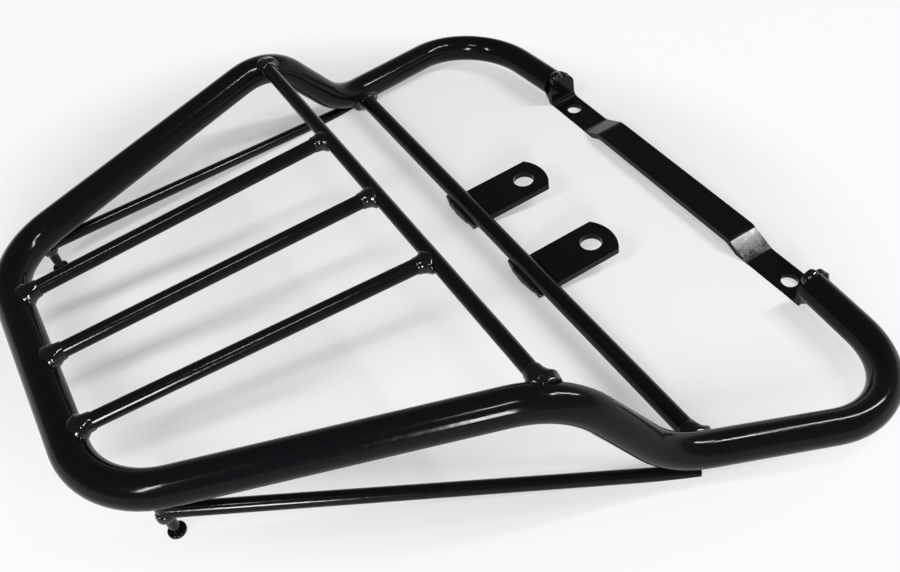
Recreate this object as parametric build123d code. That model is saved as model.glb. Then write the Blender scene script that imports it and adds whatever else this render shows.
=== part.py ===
"""Luggage rack for a motorcycle: a bent tube frame with welded rods, stays, tabs, hooks and a front strap.

Frame: origin midway between the two tab holes on the underside of the tabs, X to the right of the rider,
Y forward, Z up. All sizes in millimetres. The left side is the mirror of the right side.
"""
import os
from math import acos, cos, radians, sin, sqrt, tan

from build123d import *

# Main tube
TUBE_D = 18.0
TUBE_WALL = 1.5
BEND_R = 48.0
DECK_Z = 79.0
REAR_Y = -290.0
REAR_HALF = 85.5
SHOULDER_HALF = 157.0
SHOULDER_Y = -102.0
FOOT_HALF = 176.0
FOOT_Y = -59.0
FOOT_Z = 13.5
FRONT_TILT = 11.4
CORNER_HALF = 220.5
CORNER_Y = 76.0
END_HALF = 124.0
END_Y = 85.7
END_TRIM = 12.0

# Rods of the deck
BAR_D = 8.0
BAR_REAR_RISE = 5.0
BAR_FRONT_RISE = 3.0
BAR_REAR_HALF = 48.5
BAR_FRONT_HALF = 58.0
CROSSBAR_D = 8.0
CROSSBAR_Y = -107.3
ROD_OVERLAP = 6.0

# Thicker crossbar and its tabs
LOWER_D = 10.0
LOWER_Y = -41.5
TAB_HALF_SPACING = 35.0
TAB_WIDTH = 28.0
TAB_THICKNESS = 4.0
TAB_REAR_Y = -46.5
TAB_CORNER_Y = 9.5
TAB_BULGE = 5.0
TAB_HOLE_D = 13.0
TAB_SEAT = 0.3

# Stays under the side rails
STAY_D = 7.0
STAY_SINK = 0.1
STAY_LEAN = 17.0
STAY_FRONT_Y = -47.0
STAY_FRONT_TIP = 2.5
STAY_REAR_ANGLE = 27.0
STAY_REAR_TIP = 2.0

# Cord hooks
HOOK_TOP_D = 6.5
HOOK_D = 4.5
HOOK_ANGLE = 28.0
HOOK_OUT = 4.0
HOOK_DROP = 19.5
HOOK_HEAD_D = 8.5
HOOK_HEAD_T = 2.0

# Front strap
STRAP_WIDTH = 20.0
STRAP_T = 4.0
STRAP_Y = 89.5
STRAP_LOW_DROP = 14.0
STRAP_RISE = 8.0
STRAP_RAISED_HALF = 63.5
STRAP_KINK_HALF = 81.0
STRAP_BEND_R = 6.0
STRAP_KINK_R = 10.0
STRAP_HOLE_HALF = 106.0
STRAP_HOLE_D = 10.0
FLANGE_RISE = 5.4
FLANGE_CORNER_R = 8.0

# Weld beads
WELD = 4.5
WELD_LENGTH = 6.5
WELD_DROP = 4.0
WELD_DEPTH = 4.5
WELD_EDGE = 0.2
BAR_WELD = 3.4
BAR_WELD_LENGTH = 5.5
BAR_WELD_DROP = 1.0
BAR_WELD_DEPTH = 3.0
STRAP_WELD = 3.6
STRAP_WELD_LENGTH = 6.0
CAP_WELD_R = 5.0
CAP_SINK = 3.75
TAB_BEAD_LENGTH = 34.0
TAB_BEAD_R = 3.4
TAB_BEAD_SINK = 0.5
TAB_BEAD_RISE = 0.8
HOOK_WELD = 0.9

# Profile of a weld skirt: distance along the rod and added width, as shares of its length and width
SKIRT_PROFILE = ((1.0, 0.01), (0.6, 0.12), (0.28, 0.42), (0.0, 1.0))
SKIRT_ROOT = 0.85

# Profile of a tab's bead: distance from its middle and radius, as shares of its half length and radius
SPINDLE_PROFILE = ((0.0, 1.0), (0.55, 0.8), (1.0, 0.2), (1.0, 0.0))

tube_r = TUBE_D / 2
bar_r = BAR_D / 2
cross_r = CROSSBAR_D / 2
lower_r = LOWER_D / 2
stay_r = STAY_D / 2
ON_BASE = (Align.CENTER, Align.CENTER, Align.MIN)


def front_z(y):
    """Height of the tube's axis in the tilted plane of the front loop."""
    return FOOT_Z - (y - FOOT_Y) * tan(radians(FRONT_TILT))


def rod(start, end, diameter):
    """A round rod between two points."""
    start = Vector(start)
    end = Vector(end)
    along = end - start
    place = Plane(origin=start, z_dir=along)
    return place * Cylinder(diameter / 2, along.length, align=ON_BASE)


def largest(shape):
    """The biggest solid of a cut, so that no loose crumb stays."""
    return Part() + max(shape.solids(), key=lambda solid: solid.volume)


def lowest(shape):
    """The solid of a cut that reaches lowest."""
    return Part() + min(shape.solids(), key=lambda solid: solid.bounding_box().min.Z)


def left_of(part):
    """The mirror image on the left side."""
    return mirror(part, about=Plane.YZ)


# Tube axis
half = [
    (END_HALF - END_TRIM, END_Y + END_TRIM * (END_Y - CORNER_Y) / (CORNER_HALF - END_HALF)),
    (CORNER_HALF, CORNER_Y),
]
right_path = [(x, y, front_z(y)) for x, y in half]
right_path.append((FOOT_HALF, FOOT_Y, FOOT_Z))
right_path.append((SHOULDER_HALF, SHOULDER_Y, DECK_Z))
right_path.append((REAR_HALF, REAR_Y, DECK_Z))
left_path = [(-x, y, z) for x, y, z in reversed(right_path)]
axis = FilletPolyline(*(right_path + left_path), radius=BEND_R)
start_plane = Plane(origin=axis @ 0, z_dir=axis % 0)
tube_body = sweep(start_plane * Circle(tube_r), path=axis)
tube_bore = sweep(start_plane * Circle(tube_r - TUBE_WALL), path=axis)


def tube_at(y):
    """Place and direction of the tube's axis where its right side crosses a given Y."""
    low, high = 0.0, 0.5
    for _ in range(60):
        middle = (low + high) / 2
        if (axis @ middle).Y > y:
            low = middle
        else:
            high = middle
    return Plane(origin=axis @ low, z_dir=axis % low)


between_ends = Pos(0, END_Y, front_z(END_Y)) * Box(2 * END_HALF, 6 * TUBE_D, 4 * TUBE_D)
tube_body = largest(tube_body - between_ends)
main_tube = largest(tube_body - tube_bore)

# Front strap with a raised middle and upturned ends
end_z = front_z(END_Y)
low_z = end_z - STRAP_LOW_DROP - STRAP_T / 2
high_z = low_z + STRAP_RISE
flange_top = end_z + FLANGE_RISE
flange_x = END_HALF - STRAP_T / 2
strap_right = [
    (0.0, STRAP_Y, high_z),
    (STRAP_RAISED_HALF, STRAP_Y, high_z),
    (STRAP_KINK_HALF, STRAP_Y, low_z),
    (flange_x, STRAP_Y, low_z),
    (flange_x, STRAP_Y, flange_top),
]
strap_line = FilletPolyline(*strap_right, radius=[STRAP_KINK_R, STRAP_KINK_R, STRAP_BEND_R])
strap_plane = Plane(origin=strap_line @ 0, x_dir=(0, 1, 0), z_dir=strap_line % 0)
strap_half = sweep(strap_plane * Rectangle(STRAP_WIDTH, STRAP_T), path=strap_line)
front_strap = strap_half + left_of(strap_half)
flange_corners = front_strap.edges().filter_by(Axis.X).group_by(Axis.Z)[-1]
front_strap = fillet(flange_corners, FLANGE_CORNER_R)
for side in (1, -1):
    front_strap -= Pos(side * STRAP_HOLE_HALF, STRAP_Y, low_z) * Cylinder(STRAP_HOLE_D / 2, 4 * STRAP_T)

# Crossbar at the front of the deck
rear_z = DECK_Z + BAR_REAR_RISE
cross_z = DECK_Z + BAR_FRONT_RISE
rail_at = tube_at(CROSSBAR_Y)
cross_half = rail_at.origin.X - ROD_OVERLAP
cross_rod = rod((-cross_half, CROSSBAR_Y, cross_z), (cross_half, CROSSBAR_Y, cross_z), CROSSBAR_D)
deck_crossbar = largest(cross_rod - tube_body)

# Bars along the deck
bars = {}
for name, side in (("left", -1), ("centre", 0), ("right", 1)):
    rear = Vector(side * BAR_REAR_HALF, REAR_Y + ROD_OVERLAP, rear_z)
    front = Vector(side * BAR_FRONT_HALF, CROSSBAR_Y, cross_z)
    front = front - (front - rear).normalized() * (cross_r / 2)
    bars[name] = largest(rod(rear, front, BAR_D) - tube_body - cross_rod)

# Thicker crossbar, seated on the tabs
lower_z = TAB_THICKNESS + lower_r - TAB_SEAT
side_at = tube_at(LOWER_Y)
lower_half = side_at.origin.X
lower_rod = rod((-lower_half, LOWER_Y, lower_z), (lower_half, LOWER_Y, lower_z), LOWER_D)
lower_crossbar = largest(lower_rod - tube_body)

# Tabs under it
tab_half = TAB_WIDTH / 2
outline = [
    Line((-tab_half, TAB_CORNER_Y), (-tab_half, TAB_REAR_Y)),
    Line((-tab_half, TAB_REAR_Y), (tab_half, TAB_REAR_Y)),
    Line((tab_half, TAB_REAR_Y), (tab_half, TAB_CORNER_Y)),
    ThreePointArc((tab_half, TAB_CORNER_Y), (0, TAB_CORNER_Y + TAB_BULGE), (-tab_half, TAB_CORNER_Y)),
]
tab_face = make_face(outline) - Circle(TAB_HOLE_D / 2)
tab_plate = Pos(TAB_HALF_SPACING, 0, 0) * extrude(tab_face, amount=TAB_THICKNESS)
mount_tab_right = largest(tab_plate - lower_rod)

# Rear corner of the tube: centre of the bend
rail_length = sqrt((SHOULDER_HALF - REAR_HALF) ** 2 + (SHOULDER_Y - REAR_Y) ** 2)
rail_x = (SHOULDER_HALF - REAR_HALF) / rail_length
bend_cut = BEND_R * tan(acos(rail_x) / 2)
bend_x = REAR_HALF - bend_cut
bend_y = REAR_Y + BEND_R

# Stay under the right side rail, leaning a little to the outside of the tube
below = tube_r + stay_r - STAY_SINK
lean_out = below * sin(radians(STAY_LEAN))
lean_down = below * cos(radians(STAY_LEAN))
rear_angle = radians(STAY_REAR_ANGLE)
stay_rear = Vector(bend_x, bend_y, DECK_Z - lean_down)
stay_rear = stay_rear + Vector(cos(rear_angle), -sin(rear_angle), 0) * (BEND_R + lean_out)
side_run = Vector(CORNER_HALF - FOOT_HALF, CORNER_Y - FOOT_Y, front_z(CORNER_Y) - FOOT_Z).normalized()
side_out = Vector(side_run.Y, -side_run.X, 0).normalized()
side_down = side_run.cross(side_out)
stay_front = Vector(FOOT_HALF, FOOT_Y, FOOT_Z) + side_run * ((STAY_FRONT_Y - FOOT_Y) / side_run.Y)
stay_front = stay_front + side_out * lean_out + side_down * lean_down
stay_along = (stay_front - stay_rear).normalized()
stay_tail = stay_rear - stay_along * STAY_REAR_TIP
stay_nose = stay_front + stay_along * STAY_FRONT_TIP
stay_rod = rod(stay_tail, stay_nose, STAY_D)
stay_right = largest(stay_rod - tube_body)

# Cord hook under the right rear corner, beside the end of the stay
hook_x = bend_x + (BEND_R + HOOK_OUT) * cos(radians(HOOK_ANGLE))
hook_y = bend_y - (BEND_R + HOOK_OUT) * sin(radians(HOOK_ANGLE))
hook_tip = DECK_Z - tube_r - HOOK_DROP
hook_pin = Cone(HOOK_D / 2, HOOK_TOP_D / 2, DECK_Z - hook_tip, align=ON_BASE)
hook_pin = Pos(hook_x, hook_y, hook_tip) * hook_pin
hook_head = Pos(hook_x, hook_y, hook_tip) * Cylinder(HOOK_HEAD_D / 2, HOOK_HEAD_T)
hook_head = fillet(hook_head.edges(), HOOK_HEAD_T / 3)
cord_hook_right = lowest(hook_pin + hook_head - tube_body - stay_rod)

# Weld beads, each cut back to the surfaces that it joins
welds = {}


def bead(metal, *cutters):
    """A lump of weld metal less the pieces that it touches."""
    for cutter in cutters:
        metal -= cutter
    return largest(metal)


def skirt(place, along, side, radius, width, length, drop, depth):
    """Weld metal round the end of a rod: slim on the rod, wide and low where it meets the tube."""
    along = along.normalized()
    up = Vector(0, 0, 1)
    sections = []
    steps = [(part * length, share) for part, share in SKIRT_PROFILE]
    steps.append((-depth, SKIRT_ROOT))
    for at, share in steps:
        wide = radius + WELD_EDGE + share * width
        high = radius + WELD_EDGE + share * drop / 2
        middle = place + along * at - up * (share * drop / 2)
        if at < 0:
            middle = middle - up * (drop / 4)
        sections.append(Plane(origin=middle, x_dir=side, z_dir=along) * Ellipse(wide, high))
    return Part() + loft(sections, ruled=True)


def reach(run, rise):
    """How far from the tube's axis, along X, a crossing rod meets the tube."""
    square = 1 - run.X ** 2
    linear = run.X * run.Z * rise
    rest = rise ** 2 * (1 - run.Z ** 2) - tube_r ** 2
    return (sqrt(linear ** 2 - square * rest) - linear) / square


rear_reach = sqrt(tube_r ** 2 - BAR_REAR_RISE ** 2)
bar_run = CROSSBAR_Y - REAR_Y - ROD_OVERLAP
rear_share = (rear_reach - ROD_OVERLAP) / bar_run
rear_x = BAR_REAR_HALF + (BAR_FRONT_HALF - BAR_REAR_HALF) * rear_share
for name, side in (("left", -1), ("centre", 0), ("right", 1)):
    forward = Vector(side * (BAR_FRONT_HALF - BAR_REAR_HALF), bar_run, cross_z - rear_z)
    across = Vector(forward.Y, -forward.X, 0)
    rear_at = Vector(side * rear_x, REAR_Y + rear_reach, rear_z + rear_share * forward.Z)
    front_at = Vector(side * BAR_FRONT_HALF, CROSSBAR_Y - cross_r, cross_z)
    rear_lump = skirt(rear_at, forward, across, bar_r, WELD, WELD_LENGTH, WELD_DROP, WELD_DEPTH)
    front_lump = skirt(
        front_at, forward * -1, across, bar_r, BAR_WELD, BAR_WELD_LENGTH, BAR_WELD_DROP, BAR_WELD_DEPTH)
    welds["bar_" + name + "_rear"] = bead(rear_lump, tube_body, bars[name])
    welds["bar_" + name + "_front"] = bead(front_lump, deck_crossbar, bars[name])

inward = Vector(-1, 0, 0)
onward = Vector(0, 1, 0)
cross_reach = reach(rail_at.z_dir, cross_z - rail_at.origin.Z)
crossbar_at = Vector(rail_at.origin.X - cross_reach, CROSSBAR_Y, cross_z)
crossbar_lump = skirt(crossbar_at, inward, onward, cross_r, WELD, WELD_LENGTH, WELD_DROP, WELD_DEPTH)
welds["deck_crossbar_right"] = bead(crossbar_lump, tube_body, deck_crossbar)
lower_reach = reach(side_at.z_dir, lower_z - side_at.origin.Z)
lower_at = Vector(lower_half - lower_reach, LOWER_Y, lower_z)
lower_lump = skirt(lower_at, inward, onward, lower_r, WELD, WELD_LENGTH, WELD_DROP, WELD_DEPTH)
welds["lower_crossbar_right"] = bead(lower_lump, tube_body, lower_crossbar)

# Spindle bead behind each tab
bead_half = TAB_BEAD_LENGTH / 2
right_edge = [(part * bead_half, share * TAB_BEAD_R) for part, share in SPINDLE_PROFILE]
left_edge = [(-x, y) for x, y in reversed(right_edge[1:])]
spindle = revolve(make_face(Polyline(*left_edge, *right_edge, close=True)), axis=Axis.X)
spindle_at = Pos(TAB_HALF_SPACING, LOWER_Y - lower_r + TAB_BEAD_SINK, TAB_THICKNESS + TAB_BEAD_RISE)
welds["tab_right"] = bead(spindle_at * spindle, lower_crossbar, mount_tab_right)

# Lump at the top of the hook pin
stay_under = stay_rear.Z - stay_r
hook_bead = Pos(hook_x, hook_y, stay_under + HOOK_WELD) * Sphere(HOOK_TOP_D / 2 + HOOK_WELD)
welds["hook_right"] = bead(hook_bead, tube_body, stay_rod, cord_hook_right)

# Bead round the tube end on the strap's upturned end, with a cap that closes the tube above it
ring = Cone(tube_r + STRAP_WELD, tube_r - TUBE_WALL, STRAP_WELD_LENGTH, align=ON_BASE)
ring = Plane(origin=(END_HALF, END_Y, end_z), z_dir=(1, 0, 0)) * ring
end_face = front_strap.faces().sort_by(Axis.X)[-1]
end_prism = extrude(end_face, amount=STRAP_WELD_LENGTH, dir=(1, 0, 0))
cap = Pos(END_HALF - STRAP_T / 2, END_Y, end_z + tube_r - CAP_SINK) * Sphere(CAP_WELD_R)
cap_back = Pos(END_HALF - STRAP_T - CAP_WELD_R, END_Y, flange_top) * Box(
    2 * CAP_WELD_R, 4 * CAP_WELD_R, 4 * CAP_WELD_R)
cap -= cap_back
welds["strap_right"] = bead(ring & end_prism, tube_body, front_strap)
welds["cap_right"] = bead(cap, tube_body, front_strap)

# All pieces by name
pieces = {
    "main_tube": main_tube,
    "front_strap": front_strap,
    "deck_crossbar": deck_crossbar,
    "lower_crossbar": lower_crossbar,
    "mount_tab_right": mount_tab_right,
    "stay_right": stay_right,
    "cord_hook_right": cord_hook_right,
}
for name, part in bars.items():
    pieces["deck_bar_" + name] = part
for name, part in welds.items():
    pieces["weld_" + name] = part
for name in list(pieces):
    if "right" in name and not name.startswith(("deck_bar", "weld_bar")):
        pieces[name.replace("right", "left")] = left_of(pieces[name])

os.makedirs("parts", exist_ok=True)
for name, part in sorted(pieces.items()):
    export_step(part, "parts/" + name + ".step")
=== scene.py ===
"""Studio picture of the luggage rack: gloss black paint on a pale floor."""
import math

import bpy
from mathutils import Matrix, Vector


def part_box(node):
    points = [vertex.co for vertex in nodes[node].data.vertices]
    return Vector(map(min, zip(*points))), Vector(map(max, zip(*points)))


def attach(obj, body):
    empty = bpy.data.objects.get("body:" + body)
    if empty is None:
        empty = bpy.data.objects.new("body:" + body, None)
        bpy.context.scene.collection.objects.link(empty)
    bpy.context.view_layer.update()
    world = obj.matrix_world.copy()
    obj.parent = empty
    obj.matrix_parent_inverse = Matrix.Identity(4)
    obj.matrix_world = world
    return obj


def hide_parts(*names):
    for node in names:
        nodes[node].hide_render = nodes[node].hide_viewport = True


# Paint, for each kind of piece: roughness, shine, orange peel per metre and its relief
BLACK = (0.0030, 0.0025, 0.0033)
PAINTS = {
    "tube": (0.11, 0.12, 330.0, 0.10),
    "rod": (0.12, 0.16, 380.0, 0.14),
    "plate": (0.11, 0.16, 330.0, 0.06),
    "weld": (0.09, 0.48, 520.0, 0.10),
}
PEEL_DETAIL = 2.0
PEEL_DEPTH = 0.0002
PEEL_RANGE = (0.3, 0.7)
ROUGHNESS_SPREAD = (-0.03, 0.05)

# Edges sharper than this stay crisp
CREASE_DEG = 32.0

# Weld metal, in metres
WELD_SWELL = 0.0003
WELD_GRAIN = 0.0004
WELD_LUMP = 0.0030
WELD_RELIEF = 0.0004
# Value of the lumps' noise at which the surface stays where it is
WELD_LEVEL = 0.6

# Floor, in metres
FLOOR_ACROSS = 4.0
FLOOR_BEHIND = 1.2
FLOOR_AHEAD = 6.0
FLOOR_SIDE_SHIFT = -0.04
FLOOR_CLEARANCE = 0.0005
FLOOR_COLOUR = (0.52, 0.509, 0.528)
FLOOR_ROUGHNESS = 0.9
FLOOR_SHINE = 0.1
FLOOR_WHITE = (0.97, 0.97, 0.972)

# Ellipse on the floor, in metres, round which the shadows fade into white
SHADE_CENTRE = (0.004, 0.013)
SHADE_TURN_DEG = 55.3
SHADE_RADII = (0.245, 0.218)
# Where the fade begins and ends, in radii, and the share of white there
SHADE_FADE = (0.80, 1.24)
WHITE_SHARE = (0.38, 0.95)

# World, by height: 0 is straight down, 0.5 the horizon and 1 straight up
WALL_HEIGHT = 0.515
WALL_COLOUR = (0.95, 0.95, 0.952)
DIM_HEIGHT = 0.60
DIM_COLOUR = (0.25, 0.25, 0.25)
TOP_HEIGHT = 0.80
TOP_COLOUR = (0.10, 0.10, 0.10)

# Lamps: place and size in metres, power in watts
LAMP_AIM = (0.0, -0.1, 0.0)
LAMPS = {
    "front_strip": ((0.238, 1.05, 0.86), (0.08, 0.52), 11.5),
    "rear_strip": ((0.40, -0.96, 1.05), (0.10, 0.42), 10.5),
    "side_box": ((1.26, -0.48, 0.63), (0.20, 0.36), 18.0),
    "top_strip": ((0.50, -0.15, 1.17), (0.24, 0.055), 3.4),
    "strap_box": ((0.318, 0.76, 1.06), (0.09, 0.09), 3.6),
}

# Camera, at the photograph's angle
PHOTO_WIDTH_PX = 900.0
PHOTO_HEIGHT_PX = 572.0
FOCAL_PX = 947.15
CENTRE_PX = (449.15, 284.48)
AZIMUTH_DEG = 67.845
ELEVATION_DEG = 47.627
ROLL_DEG = 12.041
# The frame's origin as the camera sees it: right, down and ahead, in metres
ORIGIN_SEEN = (0.065103, -0.042780, 0.575886)
SENSOR_MM = 36.0
CLIP_NEAR = 0.01
CLIP_FAR = 20.0

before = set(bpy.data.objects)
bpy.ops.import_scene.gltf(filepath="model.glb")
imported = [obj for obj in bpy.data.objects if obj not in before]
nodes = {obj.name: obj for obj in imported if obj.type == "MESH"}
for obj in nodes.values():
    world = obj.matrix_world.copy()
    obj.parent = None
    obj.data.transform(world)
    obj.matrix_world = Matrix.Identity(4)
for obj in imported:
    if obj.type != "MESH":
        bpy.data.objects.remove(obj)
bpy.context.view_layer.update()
scene = bpy.context.scene


def paint(name, roughness, shine, peel, relief):
    """Gloss black paint with a fine orange peel, which also makes its gloss uneven."""
    material = bpy.data.materials.new(name)
    material.use_nodes = True
    tree = material.node_tree
    shader = tree.nodes["Principled BSDF"]
    shader.inputs["Base Color"].default_value = (*BLACK, 1.0)
    shader.inputs["Specular IOR Level"].default_value = shine
    place = tree.nodes.new("ShaderNodeTexCoord")
    skin = tree.nodes.new("ShaderNodeTexNoise")
    skin.inputs["Scale"].default_value = peel
    skin.inputs["Detail"].default_value = PEEL_DETAIL
    tree.links.new(place.outputs["Object"], skin.inputs["Vector"])
    dull = tree.nodes.new("ShaderNodeMapRange")
    dull.inputs["From Min"].default_value = PEEL_RANGE[0]
    dull.inputs["From Max"].default_value = PEEL_RANGE[1]
    dull.inputs["To Min"].default_value = roughness + ROUGHNESS_SPREAD[0]
    dull.inputs["To Max"].default_value = roughness + ROUGHNESS_SPREAD[1]
    tree.links.new(skin.outputs["Fac"], dull.inputs["Value"])
    tree.links.new(dull.outputs["Result"], shader.inputs["Roughness"])
    bump = tree.nodes.new("ShaderNodeBump")
    bump.inputs["Strength"].default_value = relief
    bump.inputs["Distance"].default_value = PEEL_DEPTH
    tree.links.new(skin.outputs["Fac"], bump.inputs["Height"])
    tree.links.new(bump.outputs["Normal"], shader.inputs["Normal"])
    return material


paints = {kind: paint(kind + "_paint", *values) for kind, values in PAINTS.items()}


def kind_of(name):
    """Which paint a piece takes."""
    if name.startswith("weld"):
        return "weld"
    if name == "main_tube":
        return "tube"
    if name.startswith(("front_strap", "mount_tab")):
        return "plate"
    return "rod"


def smooth(mesh):
    """Smooth shading on every face."""
    for face in mesh.polygons:
        face.use_smooth = True


def lumpy(name, solid, clouds):
    """A bead of weld metal with the lumps of the real one, which stands for its smooth solid."""
    rough = bpy.data.objects.new("rough", solid.data.copy())
    scene.collection.objects.link(rough)
    swell = rough.modifiers.new("swell", "DISPLACE")
    swell.strength = WELD_SWELL
    swell.mid_level = 0.0
    grain = rough.modifiers.new("grain", "REMESH")
    grain.mode = "VOXEL"
    grain.voxel_size = WELD_GRAIN
    lumps = rough.modifiers.new("lumps", "DISPLACE")
    lumps.texture = clouds
    lumps.texture_coords = "LOCAL"
    lumps.strength = WELD_RELIEF
    lumps.mid_level = WELD_LEVEL
    bpy.context.view_layer.update()
    shaped = rough.evaluated_get(bpy.context.evaluated_depsgraph_get())
    mesh = bpy.data.meshes.new_from_object(shaped)
    bpy.data.objects.remove(rough)
    smooth(mesh)
    mesh.materials.clear()
    mesh.materials.append(paints["weld"])
    piece = bpy.data.objects.new(name, mesh)
    scene.collection.objects.link(piece)
    return piece


# Paint on every piece, and lumps on the weld beads
clouds = bpy.data.textures.new("weld_lumps", "CLOUDS")
clouds.noise_scale = WELD_LUMP
clouds.noise_depth = 0
for name, solid in list(nodes.items()):
    kind = kind_of(name)
    solid.data.materials.clear()
    solid.data.materials.append(paints[kind])
    smooth(solid.data)
    creases = solid.modifiers.new("creases", "EDGE_SPLIT")
    creases.split_angle = math.radians(CREASE_DEG)
    if kind == "weld":
        bead = lumpy(name + "_metal", solid, clouds)
        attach(bead, "root")
        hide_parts(name)


def floor_cover():
    """Pale sheet that keeps the shadows near the rack and is seen white away from it."""
    cover = bpy.data.materials.new("floor")
    cover.use_nodes = True
    tree = cover.node_tree
    sheet = tree.nodes["Principled BSDF"]
    sheet.inputs["Base Color"].default_value = (*FLOOR_COLOUR, 1.0)
    sheet.inputs["Roughness"].default_value = FLOOR_ROUGHNESS
    sheet.inputs["Specular IOR Level"].default_value = FLOOR_SHINE
    white = tree.nodes.new("ShaderNodeEmission")
    white.inputs["Color"].default_value = (*FLOOR_WHITE, 1.0)
    place = tree.nodes.new("ShaderNodeTexCoord")
    ellipse = tree.nodes.new("ShaderNodeMapping")
    ellipse.vector_type = "TEXTURE"
    ellipse.inputs["Location"].default_value = (*SHADE_CENTRE, 0.0)
    ellipse.inputs["Rotation"].default_value = (0.0, 0.0, math.radians(SHADE_TURN_DEG))
    ellipse.inputs["Scale"].default_value = (*SHADE_RADII, 1.0)
    tree.links.new(place.outputs["Object"], ellipse.inputs["Vector"])
    away = tree.nodes.new("ShaderNodeVectorMath")
    away.operation = "LENGTH"
    tree.links.new(ellipse.outputs["Vector"], away.inputs[0])
    share = tree.nodes.new("ShaderNodeMapRange")
    share.interpolation_type = "SMOOTHSTEP"
    share.inputs["From Min"].default_value = SHADE_FADE[0]
    share.inputs["From Max"].default_value = SHADE_FADE[1]
    share.inputs["To Min"].default_value = WHITE_SHARE[0]
    share.inputs["To Max"].default_value = WHITE_SHARE[1]
    tree.links.new(away.outputs["Value"], share.inputs["Value"])
    ray = tree.nodes.new("ShaderNodeLightPath")
    seen = ray.outputs["Is Camera Ray"]
    for other in ("Is Glossy Ray", "Is Transmission Ray"):
        either = tree.nodes.new("ShaderNodeMath")
        either.operation = "MAXIMUM"
        tree.links.new(seen, either.inputs[0])
        tree.links.new(ray.outputs[other], either.inputs[1])
        seen = either.outputs["Value"]
    amount = tree.nodes.new("ShaderNodeMath")
    amount.operation = "MULTIPLY"
    tree.links.new(share.outputs["Result"], amount.inputs[0])
    tree.links.new(seen, amount.inputs[1])
    blend = tree.nodes.new("ShaderNodeMixShader")
    tree.links.new(amount.outputs["Value"], blend.inputs["Fac"])
    tree.links.new(sheet.outputs["BSDF"], blend.inputs[1])
    tree.links.new(white.outputs["Emission"], blend.inputs[2])
    tree.links.new(blend.outputs["Shader"], tree.nodes["Material Output"].inputs["Surface"])
    return cover


def floor_sheet():
    """Floor in the plane that the rack lies on: under the cord hooks and the strap."""
    hook_low, hook_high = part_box("cord_hook_right")
    strap_low, strap_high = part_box("front_strap")
    rear_point = Vector((0.0, (hook_low.y + hook_high.y) / 2, hook_low.z))
    front_point = Vector((0.0, strap_high.y, strap_low.z))
    along = (front_point - rear_point).normalized()
    tilt = math.atan2(along.z, along.y)
    upright = Vector((0.0, -math.sin(tilt), math.cos(tilt)))
    corners = [
        (-FLOOR_ACROSS, -FLOOR_BEHIND, 0.0),
        (FLOOR_ACROSS, -FLOOR_BEHIND, 0.0),
        (FLOOR_ACROSS, FLOOR_AHEAD, 0.0),
        (-FLOOR_ACROSS, FLOOR_AHEAD, 0.0),
    ]
    mesh = bpy.data.meshes.new("floor")
    mesh.from_pydata(corners, [], [(0, 1, 2, 3)])
    mesh.materials.append(floor_cover())
    sheet = bpy.data.objects.new("floor", mesh)
    scene.collection.objects.link(sheet)
    sheet.rotation_euler = (tilt, 0.0, 0.0)
    sheet.location = (rear_point + front_point) / 2 - upright * FLOOR_CLEARANCE
    sheet.location.x += FLOOR_SIDE_SHIFT
    return sheet


floor = floor_sheet()


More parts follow.
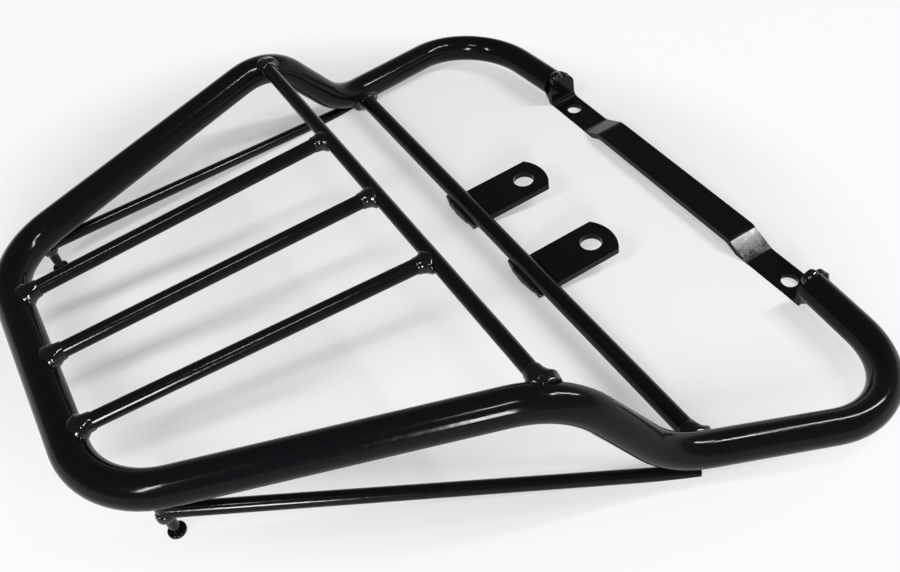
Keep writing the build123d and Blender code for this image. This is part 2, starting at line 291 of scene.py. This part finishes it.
def studio_world():
    """A pale wall to just above the horizon, dim above it and dimmer overhead."""
    world = bpy.data.worlds.new("studio")
    world.use_nodes = True
    tree = world.node_tree
    place = tree.nodes.new("ShaderNodeTexCoord")
    split = tree.nodes.new("ShaderNodeSeparateXYZ")
    tree.links.new(place.outputs["Generated"], split.inputs["Vector"])
    height = tree.nodes.new("ShaderNodeMapRange")
    height.inputs["From Min"].default_value = -1.0
    height.inputs["From Max"].default_value = 1.0
    tree.links.new(split.outputs["Z"], height.inputs["Value"])
    sky = tree.nodes.new("ShaderNodeValToRGB")
    wall, top = sky.color_ramp.elements
    wall.position = WALL_HEIGHT
    wall.color = (*WALL_COLOUR, 1.0)
    top.position = TOP_HEIGHT
    top.color = (*TOP_COLOUR, 1.0)
    dim = sky.color_ramp.elements.new(DIM_HEIGHT)
    dim.color = (*DIM_COLOUR, 1.0)
    tree.links.new(height.outputs["Result"], sky.inputs["Fac"])
    tree.links.new(sky.outputs["Color"], tree.nodes["Background"].inputs["Color"])
    return world


scene.world = studio_world()


def lamp(name, place, size, power):
    """A rectangular soft box that faces the rack."""
    data = bpy.data.lights.new(name, "AREA")
    data.shape = "RECTANGLE"
    data.size, data.size_y = size
    data.energy = power
    box = bpy.data.objects.new(name, data)
    scene.collection.objects.link(box)
    box.location = place
    box.rotation_mode = "QUATERNION"
    box.rotation_quaternion = (Vector(LAMP_AIM) - Vector(place)).to_track_quat("-Z", "Y")


for name, (place, size, power) in LAMPS.items():
    lamp(name, place, size, power)


def photo_camera():
    """Camera with the photograph's direction, roll, focal length and centre."""
    azimuth = math.radians(AZIMUTH_DEG)
    elevation = math.radians(ELEVATION_DEG)
    roll = math.radians(ROLL_DEG)
    level = Vector((math.cos(azimuth), math.sin(azimuth), 0.0))
    ahead = Vector((
        -math.sin(azimuth) * math.cos(elevation),
        math.cos(azimuth) * math.cos(elevation),
        -math.sin(elevation),
    ))
    steep = ahead.cross(level)
    right = math.cos(roll) * level + math.sin(roll) * steep
    down = -math.sin(roll) * level + math.cos(roll) * steep
    eye = -(Matrix((right, down, ahead)).transposed() @ Vector(ORIGIN_SEEN))
    data = bpy.data.cameras.new("camera")
    data.sensor_fit = "HORIZONTAL"
    data.sensor_width = SENSOR_MM
    data.lens = FOCAL_PX / PHOTO_WIDTH_PX * SENSOR_MM
    data.shift_x = (PHOTO_WIDTH_PX / 2 - CENTRE_PX[0]) / PHOTO_WIDTH_PX
    data.shift_y = (CENTRE_PX[1] - PHOTO_HEIGHT_PX / 2) / PHOTO_WIDTH_PX
    data.clip_start = CLIP_NEAR
    data.clip_end = CLIP_FAR
    camera = bpy.data.objects.new("camera", data)
    scene.collection.objects.link(camera)
    turn = Matrix((right, -down, -ahead)).transposed().to_4x4()
    camera.matrix_world = Matrix.Translation(eye) @ turn
    return camera


scene.camera = photo_camera()
scene.view_settings.view_transform = "Standard"
